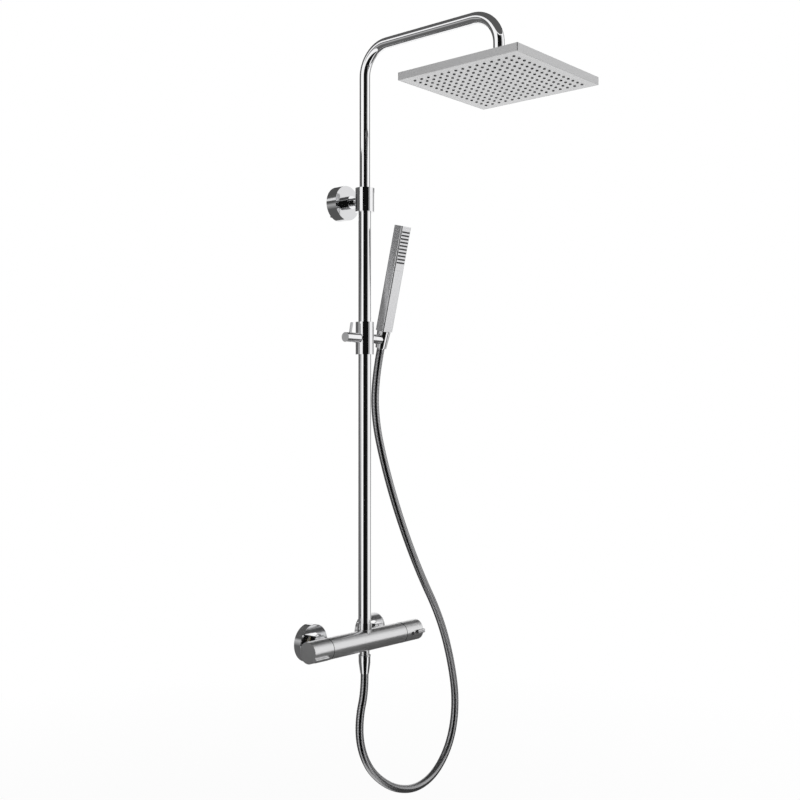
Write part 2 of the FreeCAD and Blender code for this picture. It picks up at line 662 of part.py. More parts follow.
def makeHandShower():
    bottom = "cup_length / 2 + face_gap"
    top = bottom + " + stick_length"
    front = "-stick_depth / 2"
    stick = slab("stick_bar", "-stick_width / 2", "stick_width / 2", front, "stick_depth / 2",
                 bottom, "stick_length", "stick_corner")
    plateLow = top + " - plate_margin - plate_length"
    recess = slab("stick_recess", "-plate_width / 2 - seat_gap", "plate_width / 2 + seat_gap", front + " - 1",
                  front + " + plate_thick", plateLow + " - seat_gap", "plate_length + 2 * seat_gap")
    chamberLow = plateLow + " + 5"
    chamber = slab("stick_chamber", "-chamber_width / 2", "chamber_width / 2", front + " - 1",
                   front + " + plate_thick + chamber_depth", chamberLow, "plate_length - 10")
    waterway = rod("stick_waterway", "spigot_bore / 2", bottom + " - 1", chamberLow + " + 1")
    socket = rod("stick_socket", "spigot_dia / 2 + seat_gap", bottom + " - 1", bottom + " + 6")
    onHolder(less("hand_shower_body", stick, recess, chamber, waterway, socket))

    plate = slab("hand_plate_blank", "-plate_width / 2", "plate_width / 2", front,
                 front + " + plate_thick - seat_gap", plateLow, "plate_length")
    slots = []
    bars = []
    rowTop = top + " - row_first"
    for index in range(int(value("row_count"))):
        middle = rowTop + " - row_pitch * %d" % index
        slots.append(slab("plate_slot_%d" % index, "-row_width / 2 - seat_gap", "row_width / 2 + seat_gap",
                          front + " - 1", front + " + plate_thick + 1",
                          middle + " - row_height / 2 - seat_gap", "row_height + 2 * seat_gap"))
        bars.append(slab("row_bar_%d" % index, "-row_width / 2", "row_width / 2", front + " - row_rise",
                         front + " + plate_thick + 1", middle + " - row_height / 2", "row_height"))
    onHolder(less("hand_shower_plate", plate, *slots))
    backing = slab("row_backing", "-chamber_width / 2 + seat_gap", "chamber_width / 2 - seat_gap",
                   front + " + plate_thick", front + " + plate_thick + 1.2",
                   rowTop + " - row_pitch * (row_count - 1) - 1.6", "row_pitch * (row_count - 1) + 3.2")
    trim = slab("row_trim", "-row_width", "row_width", front + " + plate_thick", "stick_depth",
                plateLow, "plate_length")
    sides = slab("row_sides", "-chamber_width / 2 + seat_gap", "chamber_width / 2 - seat_gap",
                 front + " + plate_thick - 1", "stick_depth * 2", plateLow, "plate_length")
    proud = less("row_proud", joined("row_bars", *bars), less("row_overhang", trim, sides))
    onHolder(joined("hand_shower_nozzles", proud, backing))

    spigotEnd = bottom + " - spigot_length"
    spigot = ring("hand_shower_inlet", "spigot_bore / 2", "spigot_dia / 2", spigotEnd, bottom + " + 5.8")
    onHolder(spigot)
    nutLow = "-hose_nut_end"
    nutHigh = "cup_length / 2"
    skin = "cup_wall + face_gap"
    nut = turned("upper_hose_nut", [
        ("5", nutLow), ("hose_dia / 2", nutLow),
        (cupRadius("-cup_length / 2", skin), "-cup_length / 2 + 0.1"),
        (cupRadius(nutHigh, skin), nutHigh), ("spigot_dia / 2 + seat_gap", nutHigh),
        ("spigot_dia / 2 + seat_gap", spigotEnd + " - 2.3"), ("5", spigotEnd + " - 2.3")])
    onHolder(nut)
    washer = ring("upper_hose_washer", "5", "spigot_dia / 2", spigotEnd + " - 2.2", spigotEnd + " - 0.1")
    onHolder(washer)


# ---- the hose, from the mixer's outlet to the hand shower's conical nut

def makeHoseNut():
    thread = "outlet_thread_dia / 2 + seat_gap"
    stop = "-outlet_thread_dia * 2"
    nut = turned("lower_hose_nut", [
        (thread, "-lower_nut_top"), (thread + " + nut_wall", "-lower_nut_top"),
        (thread + " + nut_wall", stop), ("hose_dia / 2 + 0.5", "-lower_nut_end"),
        ("5", "-lower_nut_end"), ("5", stop + " - 2.4"), (thread, stop + " - 2.4")])
    keep(place(nut, y=riserY))
    washer = ring("lower_hose_washer", "5", "outlet_thread_dia / 2", stop + " - 2.2", stop + " - 0.1")
    keep(place(washer, y=riserY))


# the hose's route from below the riser, measured from the riser axis, up to the last points,
# which lie on the holder's axis
hosePoints = [
    (0, 0, -56), (0, 0, -88), (-13, 0, -128), (-13, 0, -172), (6, 0, -216), (40, 0, -250),
    (86, 0, -277), (142, 0, -289), (198, 0, -273), (242, 0, -224), (257, 0, -153), (241, 0, -72),
    (207, 0, 14), (145, 0, 106), (97, 4, 203), (64, 10, 296), (46, 17, 378)]


def hoseRoute():
    points = [FreeCAD.Vector(*point) for point in hosePoints]
    lean = math.radians(value("holder_tilt"))
    down = FreeCAD.Vector(0, math.sin(lean), -math.cos(lean))
    pivot = FreeCAD.Vector(value("cup_place"), 0, value("slider_height"))
    nutEnd = value("hose_nut_end")
    points += [pivot + down * (nutEnd + 56), pivot + down * nutEnd]
    shift = FreeCAD.Vector(0, -value("wall_offset"), 0)
    return [point + shift for point in points]


def makeHose():
    # straight runs joined by tangent arcs, each arc as large as its shorter run allows
    points = hoseRoute()
    edges = []
    last = points[0]
    for before, corner, after in zip(points, points[1:], points[2:]):
        inward = (before - corner).normalize()
        outward = (after - corner).normalize()
        turn = math.pi - inward.getAngle(outward)
        shorter = min(before.distanceToPoint(corner), after.distanceToPoint(corner))
        radius = 0.45 * shorter / math.tan(turn / 2)
        print("hose turn %5.1f degrees, radius %6.1f" % (math.degrees(turn), radius))
        start = corner + inward * 0.45 * shorter
        end = corner + outward * 0.45 * shorter
        bisector = (inward + outward).normalize()
        middle = corner + bisector * (radius / math.cos(turn / 2) - radius)
        edges += [Part.LineSegment(last, start).toShape(), Part.Arc(start, middle, end).toShape()]
        last = end
    edges.append(Part.LineSegment(last, points[-1]).toShape())
    path = Part.Wire(edges)
    radius = value("hose_dia") / 2
    section = Part.Wire([Part.makeCircle(radius, points[0], points[1] - points[0])])
    shape = path.makePipeShell([section], True, False)
    hose = doc.addObject("Part::Feature", "hose")
    hose.Shape = shape
    expected = math.pi * radius ** 2 * path.Length
    print("hose length %.1f, volume %.0f, section times length %.0f" % (path.Length, shape.Volume, expected))
    keep(hose)


# ---- the rain head and the ball joint that carries it

def makeBallJoint():
    ball = "ball_height"
    reachY = "-wall_offset - arm_reach"
    spigot = "upper_tube_dia / 2 - upper_tube_wall - seat_gap"
    sphere = doc.addObject("Part::Sphere", "ball_round")
    bind(sphere, Radius="ball_dia / 2")
    stem = turned("ball_neck", [
        ("0", "0"), ("neck_stem_dia / 2", "0"), ("neck_stem_dia / 2", "drop_end - ball_height - 3"),
        ("upper_tube_dia / 2", "drop_end - ball_height - 3"),
        ("upper_tube_dia / 2", "drop_end - ball_height - seat_gap"),
        (spigot, "drop_end - ball_height - seat_gap"), (spigot, "drop_end - ball_height + 12"),
        ("0", "drop_end - ball_height + 12")])
    bore = rod("ball_bore", "3", "-ball_dia", "drop_end - ball_height + 13")
    joint = less("ball_stem", joined("ball_and_neck", sphere, stem), bore)
    keep(place(joint, y=reachY, z=ball))

    outer = doc.addObject("Part::Sphere", "slip_outer")
    bind(outer, Radius="ball_dia / 2 + running_gap + ring_thick", Angle1="-20", Angle2="20")
    inner = doc.addObject("Part::Sphere", "slip_inner")
    bind(inner, Radius="ball_dia / 2 + running_gap")
    slip = less("ball_ring", outer, inner)
    keep(place(slip, y=reachY, z=ball))

    split = "-1"
    base = "head_plane + head_thick - ball_height"
    throat = "socket_dia / 2 - 3"
    lower = turned("socket_blank", [
        ("4", base + " - shell_wall - 1"), ("6.9", base + " - shell_wall - 1"), ("6.9", base),
        ("socket_dia / 2", base), ("socket_dia / 2", base + " + 6"), (throat, base + " + 6"),
        (throat, split), ("4", split)])
    lowerRound = doc.addObject("Part::Sphere", "socket_round")
    cavity = "ball_dia / 2 + ring_thick + 2 * running_gap"
    bind(lowerRound, Radius=cavity)
    socket = less("head_socket", lower, lowerRound)
    keep(place(socket, y=reachY, z=ball))
    upper = turned("nut_blank", [
        (throat + " + seat_gap", base + " + 6"), ("socket_dia / 2", base + " + 6"),
        ("socket_dia / 2", "socket_lip"), ("socket_opening / 2", "socket_lip"), ("socket_opening / 2", split),
        (throat + " + seat_gap", split)])
    upperRound = doc.addObject("Part::Sphere", "nut_round")
    bind(upperRound, Radius=cavity)
    nut = less("socket_nut", upper, upperRound)
    keep(place(nut, y=reachY, z=ball))


def nozzleGrid(radius, low, high):
    # one cylinder for each nozzle of the grid, the middle place left to the screw
    rows = int(value("nozzle_rows"))
    pitch = value("nozzle_pitch")
    centre = FreeCAD.Vector(0, -value("wall_offset") - value("arm_reach"), 0)
    pins = []
    for column in range(rows):
        for row in range(rows):
            if column == row == rows // 2:
                continue
            place = FreeCAD.Vector((column - rows // 2) * pitch, (row - rows // 2) * pitch, low)
            pins.append(Part.makeCylinder(radius, high - low, centre + place))
    return pins


def makeHead():
    reachY = "-wall_offset - arm_reach"
    side = "head_side / 2"
    block = slab("head_block", "-" + side, side, "-" + side, side, "head_plane", "head_thick", "head_corner")
    inner = "head_side / 2 - shell_wall"
    hollow = slab("head_hollow", "-(%s)" % inner, inner, "-(%s)" % inner, inner, "head_plane - 1",
                  "head_thick - shell_wall + 1")
    inlet = rod("head_inlet", "7", "head_plane", "head_plane + head_thick + 1")
    keep(place(less("head_shell", block, hollow, inlet), y=reachY))

    # the perforated plate and the nozzle mat behind it share one grid
    centreY = -value("wall_offset") - value("arm_reach")
    half = value("head_side") / 2 - value("shell_wall") - value("seat_gap")
    plane = value("head_plane")
    gap = value("seat_gap")
    hole = value("centre_screw_dia") / 2 + gap

    def sheetMetal(low, thick, edge):
        plate = Part.makeBox(2 * edge, 2 * edge, thick, FreeCAD.Vector(-edge, centreY - edge, low))
        return plate.cut(Part.makeCylinder(hole, thick, FreeCAD.Vector(0, centreY, low)))

    thick = value("face_thick")
    holes = nozzleGrid(value("nozzle_hole") / 2, plane - 1, plane + thick + 1)
    face = doc.addObject("Part::Feature", "face_plate")
    face.Shape = sheetMetal(plane, thick, half).cut(Part.makeCompound(holes))
    keep(face)
    matLow = plane + thick + gap
    mat = doc.addObject("Part::Feature", "nozzle_mat")
    tips = nozzleGrid(value("nozzle_dia") / 2, plane - value("nozzle_rise"), matLow + value("mat_thick") / 2)
    mat.Shape = sheetMetal(matLow, value("mat_thick"), half - 1).multiFuse(tips).removeSplitter()
    keep(mat)

    matTop = "head_plane + face_thick + mat_thick + 2 * seat_gap"
    under = "head_plane + head_thick - shell_wall - seat_gap"
    dish = turned("diffuser_dish", [
        ("centre_screw_dia / 2 + seat_gap", matTop), ("13", matTop), ("13", under), ("10", under),
        ("10", matTop + " + 2"), ("centre_screw_dia / 2 + seat_gap", matTop + " + 2")])
    windows = [slab("diffuser_window_" + way, "-" + wide, wide, "-" + deep, deep, matTop + " + 2.5", "2")
               for way, wide, deep in (("across", "14", "4"), ("along", "4", "14"))]
    keep(place(less("inlet_diffuser", dish, *windows), y=reachY))
    screw = turned("face_screw", [
        ("0", "head_plane - 1"), ("3.2", "head_plane - 1"), ("3.2", "head_plane - seat_gap"),
        ("centre_screw_dia / 2", "head_plane - seat_gap"), ("centre_screw_dia / 2", matTop + " + 3"),
        ("0", matTop + " + 3")])
    keep(place(screw, y=reachY))


def writeParts():
    doc.recompute()
    for item in doc.Objects:
        if "Invalid" in item.State or "Error" in item.State:
            raise RuntimeError("%s failed: %s" % (item.Name, item.State))
    os.makedirs("parts", exist_ok=True)
    for piece in subParts:
        shape = piece.Shape
        if shape.isNull() or not shape.isValid():
            raise RuntimeError("%s has no valid shape" % piece.Label)
        shape.exportStep("parts/%s.step" % piece.Label)
        print("%-24s solids %d volume %10.1f" % (piece.Label, len(shape.Solids), shape.Volume))


makeLowerTube()
makeUpperTube()
makeTelescope()
makeBracket()
makeMixerBody()
makeWallUnions()
makeHandles()
makeSlider()
makeHolder()
makeHandShower()
makeHoseNut()
makeHose()
makeBallJoint()
makeHead()
writeParts()
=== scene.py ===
import json
import math

import bmesh
import bpy
import numpy as np
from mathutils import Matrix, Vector

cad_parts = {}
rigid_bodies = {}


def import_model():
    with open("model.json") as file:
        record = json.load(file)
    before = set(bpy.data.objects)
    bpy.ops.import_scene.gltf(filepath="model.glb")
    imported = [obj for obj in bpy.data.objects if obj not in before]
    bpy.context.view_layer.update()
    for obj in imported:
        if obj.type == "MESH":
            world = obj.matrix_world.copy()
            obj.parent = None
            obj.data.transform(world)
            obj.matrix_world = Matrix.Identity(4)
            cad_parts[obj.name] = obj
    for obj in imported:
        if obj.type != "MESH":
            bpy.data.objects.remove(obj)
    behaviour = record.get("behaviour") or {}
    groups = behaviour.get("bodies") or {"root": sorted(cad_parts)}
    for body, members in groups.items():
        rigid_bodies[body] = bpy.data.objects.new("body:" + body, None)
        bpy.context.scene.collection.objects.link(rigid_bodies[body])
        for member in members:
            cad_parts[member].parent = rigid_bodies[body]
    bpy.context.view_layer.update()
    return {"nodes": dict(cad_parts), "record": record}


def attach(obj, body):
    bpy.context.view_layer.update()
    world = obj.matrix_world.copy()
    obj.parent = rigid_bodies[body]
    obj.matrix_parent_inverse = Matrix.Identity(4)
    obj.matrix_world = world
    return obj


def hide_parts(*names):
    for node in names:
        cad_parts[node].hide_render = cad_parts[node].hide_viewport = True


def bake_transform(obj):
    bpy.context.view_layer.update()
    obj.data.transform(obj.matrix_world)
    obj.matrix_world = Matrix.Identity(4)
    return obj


for spare in list(bpy.data.objects):
    bpy.data.objects.remove(spare)
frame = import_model()
nodes = frame["nodes"]
print("frame loaded,", len(nodes), "nodes")


# ---- camera, floor, lights and flags

view = {"place": (-1.446088, -1.379298, 0.392031), "pitch": 90.634, "turn": -49.473, "lens": 51.02,
        "sensor": 36.0}


def makeCamera():
    lens = bpy.data.cameras.new("camera")
    lens.lens, lens.sensor_width = view["lens"], view["sensor"]
    camera = bpy.data.objects.new("camera", lens)
    camera.location = view["place"]
    camera.rotation_euler = (math.radians(view["pitch"]), 0, math.radians(view["turn"]))
    bpy.context.scene.collection.objects.link(camera)
    bpy.context.scene.camera = camera


class Wire:
    # an output of a material's node; + - * on wires and numbers add Math nodes
    def __init__(self, finish, socket):
        self.finish, self.socket = finish, socket

    def combine(self, operation, first, second):
        return self.finish.node("ShaderNodeMath", {"operation": operation}, {0: first, 1: second})

    def __add__(self, other):
        return self.combine("ADD", self, other)

    def __radd__(self, other):
        return self.combine("ADD", other, self)

    def __rsub__(self, other):
        return self.combine("SUBTRACT", other, self)

    def __mul__(self, other):
        return self.combine("MULTIPLY", self, other)

    def __rmul__(self, other):
        return self.combine("MULTIPLY", other, self)


class Finish:
    # a node tree being made, for a material or the world
    def __init__(self, owner):
        owner.use_nodes = True
        self.owner, self.tree = owner, owner.node_tree
        self.tree.nodes.clear()

    def node(self, kind, settings=None, sockets=None, output=0):
        # any node: its settings first, then its sockets' values or wires
        made = self.tree.nodes.new(kind)
        for name, value in (settings or {}).items():
            if name == "stops":
                ramp = made.color_ramp.elements
                ramp.remove(ramp[1])
                for index, (position, grey) in enumerate(value):
                    stop = ramp.new(position) if index else ramp[0]
                    stop.position, stop.color = position, (grey, grey, grey, 1)
            else:
                setattr(made, name, value)
        for name, value in (sockets or {}).items():
            if isinstance(value, Wire):
                self.tree.links.new(value.socket, made.inputs[name])
            else:
                made.inputs[name].default_value = value
        return Wire(self, made.outputs[output])

    def place(self, scale=(1, 1, 1), turn=(0, 0, 0)):
        # the piece's own coordinates, stretched and turned
        where = self.node("ShaderNodeTexCoord", output="Object")
        return self.node("ShaderNodeMapping", None, {"Vector": where, "Scale": scale, "Rotation": turn})

    def noise(self, where, scale, detail=2.0, rough=0.5):
        return self.node("ShaderNodeTexNoise", None,
                         {"Vector": where, "Scale": scale, "Detail": detail, "Roughness": rough})

    def ramp(self, factor, *stops):
        return self.node("ShaderNodeValToRGB", {"stops": stops}, {"Fac": factor})

    def blendColours(self, factor, first, second):
        return self.node("ShaderNodeMix", {"data_type": "RGBA"},
                         {"Factor": factor, 6: (*first, 1), 7: (*second, 1)}, output=2)

    def end(self, shader, kind="ShaderNodeOutputMaterial"):
        out = self.tree.nodes.new(kind)
        self.tree.links.new(shader.socket, out.inputs["Surface"])
        return self.owner


stage = {
    "floorHeight": -0.5, "floorRadius": 9.0, "floorSteps": (12, 65),
    "floorColour": (0.82, 0.82, 0.82), "shadowScale": 0.5, "shadowShare": 0.15,
    "worldGrey": 0.62, "aim": (0, -0.15, 0.4),
    "key": {"place": (1.5, -3.0, 2.3), "size": 2.2, "power": 62.0},
    "fill": {"place": (-2.6, -1.2, 1.2), "size": 1.6, "power": 9.0},
    # dark flags round the column: radius and height at one edge and at the other, from and to
    # azimuth, then the greys at heights from the floor up
    "flags": [("flag_front", (2.5, -0.49), (2.5, 2.4), -162.6, -89.8, (0.006, 0.006)),
              ("flag_back", (2.6, -0.49), (2.6, 2.6), 58.0, 131.0, (0.13, 0.1)),
              ("flag_back_high", (2.7, 1.3), (2.7, 3.0), -5.0, 58.0, (0.06, 0.06)),
              ("flag_left", (2.6, -0.49), (2.6, 1.45), 131.0, 162.0, (0.1, 0.3, 0.5, 0.09, 0.12, 0.4)),
              ("flag_front_edge", (2.5, -0.49), (2.5, 2.4), -89.8, -72.0, (0.4, 0.4)),
              ("flag_right", (2.7, -0.49), (2.7, 2.4), -28.0, 14.0, (0.42, 0.42)),
              ("flag_floor_front", (0.15, -0.488), (2.5, -0.488), -162.6, -89.8, (0.006, 0.006)),
              ("flag_floor_back", (0.15, -0.488), (2.6, -0.488), 50.0, 162.0, (0.12, 0.12)),
              ("flag_floor_right", (0.15, -0.488), (2.9, -0.488), -62.0, 0.0, (0.1, 0.1)),
              ("flag_floor_near", (0.15, -0.488), (1.6, -0.488), 0.0, 50.0, (0.1, 0.1)),
              ("flag_ceiling", (0.0, 2.6), (2.6, 2.6), -180.0, 180.0, (0.1, 0.1))],
    "flagHeights": (-0.5, 2.0), "flagSteps": (60, 8),
}


def seen(finish):
    # 1 for a ray that shows the background itself: from the camera, a mirror or glass
    path = finish.node("ShaderNodeLightPath").socket.node
    camera, glossy, through = (Wire(finish, path.outputs[name]) for name in
                               ("Is Camera Ray", "Is Glossy Ray", "Is Transmission Ray"))
    return finish.node("ShaderNodeMath", {"operation": "MINIMUM"}, {0: camera + glossy + through, 1: 1.0})


def makeWorld():
    world = bpy.data.worlds.new("studio")
    bpy.context.scene.world = world
    finish = Finish(world)
    grey = stage["worldGrey"]
    light = finish.node("ShaderNodeBackground", None, {"Color": (grey, grey, grey, 1), "Strength": 1.0})
    white = finish.node("ShaderNodeBackground", None, {"Color": (1, 1, 1, 1), "Strength": 1.0})
    mixed = finish.node("ShaderNodeMixShader", None, {0: seen(finish), 1: light, 2: white})
    finish.end(mixed, "ShaderNodeOutputWorld")


def addObject(name, mesh, finish=None):
    piece = bpy.data.objects.new(name, mesh)
    bpy.context.scene.collection.objects.link(piece)
    if finish is not None:
        mesh.materials.append(finish)
    return piece


def sheetMesh(name, grid):
    # an open grid of points as quads
    rows, columns = grid.shape[:2]
    index = np.arange(rows * columns).reshape(rows, columns)
    quads = np.stack([index[:-1, :-1], index[:-1, 1:], index[1:, 1:], index[1:, :-1]], -1)
    mesh = bpy.data.meshes.new(name)
    mesh.from_pydata(grid.reshape(-1, 3).tolist(), [], quads.reshape(-1, 4).tolist())
    return mesh


def makeFloor():
    # rings about the column's foot, x = r cos a, y = r sin a; the white takes over away from the shadow
    rings, sides = stage["floorSteps"]
    radius, turn = np.meshgrid(np.linspace(0.0, stage["floorRadius"], rings),
                               np.linspace(0, 2 * np.pi, sides), indexing="ij")
    grid = np.stack([radius * np.cos(turn), radius * np.sin(turn), 0 * radius + stage["floorHeight"]], -1)
    finish = Finish(bpy.data.materials.new("floor"))
    where = finish.place(scale=(stage["shadowScale"],) * 3)
    away = finish.node("ShaderNodeTexGradient", {"gradient_type": "SPHERICAL"}, {"Vector": where}, output=1)
    plain = finish.node("ShaderNodeBsdfDiffuse", None, {"Color": (*stage["floorColour"], 1)})
    white = finish.node("ShaderNodeEmission", None, {"Color": (1, 1, 1, 1), "Strength": 1.0})
    factor = seen(finish) * (1.0 - stage["shadowShare"] * away)
    mixed = finish.node("ShaderNodeMixShader", None, {0: factor, 1: plain, 2: white})
    floor = addObject("floor", sheetMesh("floor", grid), finish.end(mixed))


def makeFlag(name, first, last, fromTurn, toTurn, greys):
    # part of a ring about the riser, x = r cos a, y = r sin a, r and z running evenly from one edge to
    # the other; only mirrors see it
    sides, rows = stage["flagSteps"]
    turn, share = np.meshgrid(np.radians(np.linspace(fromTurn, toTurn, sides)), np.linspace(0, 1, rows),
                              indexing="ij")
    radius, height = (first[way] + share * (last[way] - first[way]) for way in (0, 1))
    grid = np.stack([radius * np.cos(turn), radius * np.sin(turn), height], -1)
    finish = Finish(bpy.data.materials.new(name))
    where = finish.node("ShaderNodeTexCoord", output="Object")
    upright = finish.node("ShaderNodeSeparateXYZ", None, {"Vector": where}, output="Z")
    low, high = stage["flagHeights"]
    level = finish.node("ShaderNodeMapRange", None, {0: upright, 1: low, 2: high})
    stops = [(index / (len(greys) - 1), grey) for index, grey in enumerate(greys)]
    shine = finish.node("ShaderNodeEmission", None, {"Color": finish.ramp(level, *stops), "Strength": 1.0})
    flag = addObject(name, sheetMesh(name, grid), finish.end(shine))
    flag.visible_camera = flag.visible_diffuse = flag.visible_shadow = flag.visible_transmission = False


def makeLamp(name, place, size, power):
    light = bpy.data.lights.new(name, "AREA")
    light.shape, light.size, light.energy = "DISK", size, power
    lamp = bpy.data.objects.new(name, light)
    lamp.location = place
    lamp.rotation_euler = (Vector(stage["aim"]) - Vector(place)).to_track_quat("-Z", "Y").to_euler()
    lamp.visible_glossy = False     # mirrors show the studio, not the lamps
    bpy.context.scene.collection.objects.link(lamp)


makeCamera()
makeWorld()
makeFloor()
for flagSizes in stage["flags"]:
    makeFlag(*flagSizes)
makeLamp("key", **stage["key"])
makeLamp("fill", **stage["fill"])
bpy.context.scene.view_settings.view_transform = "Standard"
print("stage made")


# ---- finishes

wear = {"patches": 14.0, "grain": 900.0, "handled": 22.0, "handledDull": 0.1}


def metal(name, colour, roughness, spread, grain=(1, 1, 1), grainDepth=0.0, dull=0.0, metallic=1.0,
          shade=0.92):
    # polished or brushed metal: wiped patches change its gloss, fine lines run along the grain
    finish = Finish(bpy.data.materials.new(name))
    patches = finish.noise(finish.place(), wear["patches"], 3.0)
    lines = finish.noise(finish.place(scale=grain), wear["grain"], 2.0, 0.6)
    rough = roughness + spread * patches + dull * lines
    base = finish.blendColours(patches, [shade * part for part in colour], colour)
    bump = finish.node("ShaderNodeBump", None,
                       {"Strength": 1.0, "Distance": grainDepth, "Height": lines})
    return finish.end(finish.node("ShaderNodeBsdfPrincipled", None, {
        "Base Color": base, "Metallic": metallic, "Roughness": rough, "Normal": bump}))


def moulded(name, colour, roughness, pebble, pebbleDepth, coat=0.0, metallic=0.0):
    # moulded plastic or rubber: a pebbled skin, a little lighter and duller where it is handled
    finish = Finish(bpy.data.materials.new(name))
    patches = finish.noise(finish.place(), wear["handled"], 3.0)
    skin = finish.noise(finish.place(), pebble, 3.0)
    base = finish.blendColours(patches, [0.9 * part for part in colour], colour)
    bump = finish.node("ShaderNodeBump", None, {"Strength": 1.0, "Distance": pebbleDepth, "Height": skin})
    return finish.end(finish.node("ShaderNodeBsdfPrincipled", None, {
        "Base Color": base, "Metallic": metallic, "Roughness": roughness + wear["handledDull"] * patches,
        "Coat Weight": coat, "Normal": bump}))


def woundSteel(name, sizes):
    # the hose's winding: painted shade makes the base colour darker in the groove between turns, and the
    # groove is also duller; the crests are lighter and glossier, and scuffs dull it in streaks
    finish = Finish(bpy.data.materials.new(name))
    along = finish.node("ShaderNodeUVMap", {"uv_map": "winding"})
    split = finish.node("ShaderNodeSeparateXYZ", None, {"Vector": along}).socket.node
    turn, length = Wire(finish, split.outputs["X"]), Wire(finish, split.outputs["Y"])
    phase = (length * (1 / sizes["pitch"]) + turn) * (2 * math.pi)
    crest = 0.5 + 0.5 * finish.node("ShaderNodeMath", {"operation": "COSINE"}, {0: phase})
    stretched = finish.node("ShaderNodeMapping", None, {"Vector": along, "Scale": sizes["scuffs"]})
    scuffs = finish.noise(stretched, 1.0, 3.0)
    # painted shade: the groove's colour, far darker than the crest's, stands in for the shade between the
    # turns
    base = finish.blendColours(crest, sizes["grooveShade"], sizes["crest"])
    rough = sizes["roughness"] + sizes["grooveDull"] * (1.0 - crest) + sizes["scuffDull"] * scuffs
    return finish.end(finish.node("ShaderNodeBsdfPrincipled", None, {
        "Base Color": base, "Metallic": 1.0, "Roughness": rough}))


finishes = {
    "tube_chrome": metal("tube_chrome", (0.93, 0.93, 0.94), 0.02, 0.05, (1, 1, 0.02), 0.0, 0.0, shade=0.97),
    "bright_chrome": metal("bright_chrome", (0.9, 0.9, 0.91), 0.03, 0.06, (1, 1, 1), 0.0, 0.02, shade=0.95),
    "satin_chrome": metal("satin_chrome", (0.8, 0.8, 0.805), 0.24, 0.06, (0.03, 1, 1), 0.000001, 0.04),
    "satin_steel": metal("satin_steel", (0.64, 0.64, 0.645), 0.34, 0.08, (0.03, 1, 1), 0.000001, 0.06),
    "face_steel": metal("face_steel", (0.76, 0.76, 0.765), 0.3, 0.08, (0.03, 1, 1), 0.000001, 0.06),
    "cover_chrome": metal("cover_chrome", (0.74, 0.74, 0.75), 0.05, 0.06, (1, 1, 1), 0.0, 0.02, shade=0.92),
    "lever_chrome": metal("lever_chrome", (0.5, 0.5, 0.51), 0.12, 0.06, (1, 1, 1), 0.0, 0.02, shade=0.9),
    "steel": metal("steel", (0.5, 0.5, 0.52), 0.25, 0.1, (1, 1, 1), 0.000004, 0.1),
    "brass": metal("brass", (0.7, 0.55, 0.3), 0.25, 0.15, (1, 1, 1), 0.000004, 0.1),
    "white_plastic": moulded("white_plastic", (0.8, 0.8, 0.78), 0.35, 700.0, 0.00001),
    "seal_rubber": moulded("seal_rubber", (0.03, 0.03, 0.03), 0.6, 1200.0, 0.00002),
    "cartridge_plastic": moulded("cartridge_plastic", (0.05, 0.05, 0.055), 0.4, 700.0, 0.00001),
    "black_plastic": moulded("black_plastic", (0.02, 0.02, 0.02), 0.25, 900.0, 0.000008, 0.3),
    "silicone": moulded("silicone", (0.035, 0.035, 0.037), 0.5, 1400.0, 0.00002),
    "shower_plastic": moulded("shower_plastic", (0.74, 0.74, 0.75), 0.2, 900.0, 0.0000015, 0.0, 0.92),
}
for part in frame["record"]["subparts"]:
    if part["material_slot"] in finishes:
        node = nodes[part["node"]]
        if not node.material_slots:
            node.data.materials.append(None)
        for slot in node.material_slots:
            slot.material = finishes[part["material_slot"]]
ownFinishes = {"face_plate": "face_steel", "bracket_cover": "cover_chrome", "clamp_lever": "lever_chrome"}
for name, finishName in ownFinishes.items():
    nodes[name].material_slots[0].material = finishes[finishName]
print("finishes made")


# ---- the hose

hose = {
    "diameter": 0.014, "length": 1.215, "exit": (0, -0.063, -0.056),
    "riser": (0, -0.063, 0), "pivot": (0.046, 0, 0.520), "tilt": 13.7, "nutEnd": 0.017, "straight": 0.056,
    "pitch": 0.0025, "grooveDepth": 0.00025, "perTurn": 4, "round": 20, "resolution": 24, "smooth": 9,
    # groove colour: painted shade between the turns; crest colour: the steel's own
    "grooveShade": (0.12, 0.12, 0.122), "crest": (0.6, 0.6, 0.61), "roughness": 0.1,
    "grooveDull": 0.12, "scuffDull": 0.06, "scuffs": (40, 900, 1),
    # millimetres from the riser's axis; the last points lie on the holder's axis
    "route": [(0, 0, -56), (0, 0, -88), (-13, 0, -128), (-13, 0, -172), (6, 0, -216), (40, 0, -250),
              (86, 0, -277), (142, 0, -289), (198, 0, -273), (242, 0, -224), (257, 0, -153),
              (241, 0, -72), (207, 0, 14), (145, 0, 106), (97, 4, 203), (64, 10, 296), (46, 17, 378)],
}


def hoseRoute():
    points = [Vector(point) / 1000 for point in hose["route"]]
    lean = math.radians(hose["tilt"])
    down = Vector((0, math.sin(lean), -math.cos(lean)))
    points += [Vector(hose["pivot"]) + down * (hose["nutEnd"] + hose["straight"]),
               Vector(hose["pivot"]) + down * hose["nutEnd"]]
    return [point + Vector(hose["riser"]) for point in points]


def splineLine(points):
    # the points of the smooth spline that the route's points control
    curve = bpy.data.curves.new("line", "CURVE")
    curve.dimensions = "3D"
    curve.resolution_u = hose["resolution"]
    spline = curve.splines.new("NURBS")
    spline.points.add(len(points) - 1)
    for control, point in zip(spline.points, points):
        control.co = (*point, 1)
    spline.order_u = 3
    spline.use_endpoint_u = True
    holder = bpy.data.objects.new("line", curve)
    mesh = bpy.data.meshes.new_from_object(holder)
    line = np.empty(len(mesh.vertices) * 3)
    mesh.vertices.foreach_get("co", line)
    bpy.data.objects.remove(holder)
    bpy.data.meshes.remove(mesh)
    bpy.data.curves.remove(curve)
    return line.reshape(-1, 3)


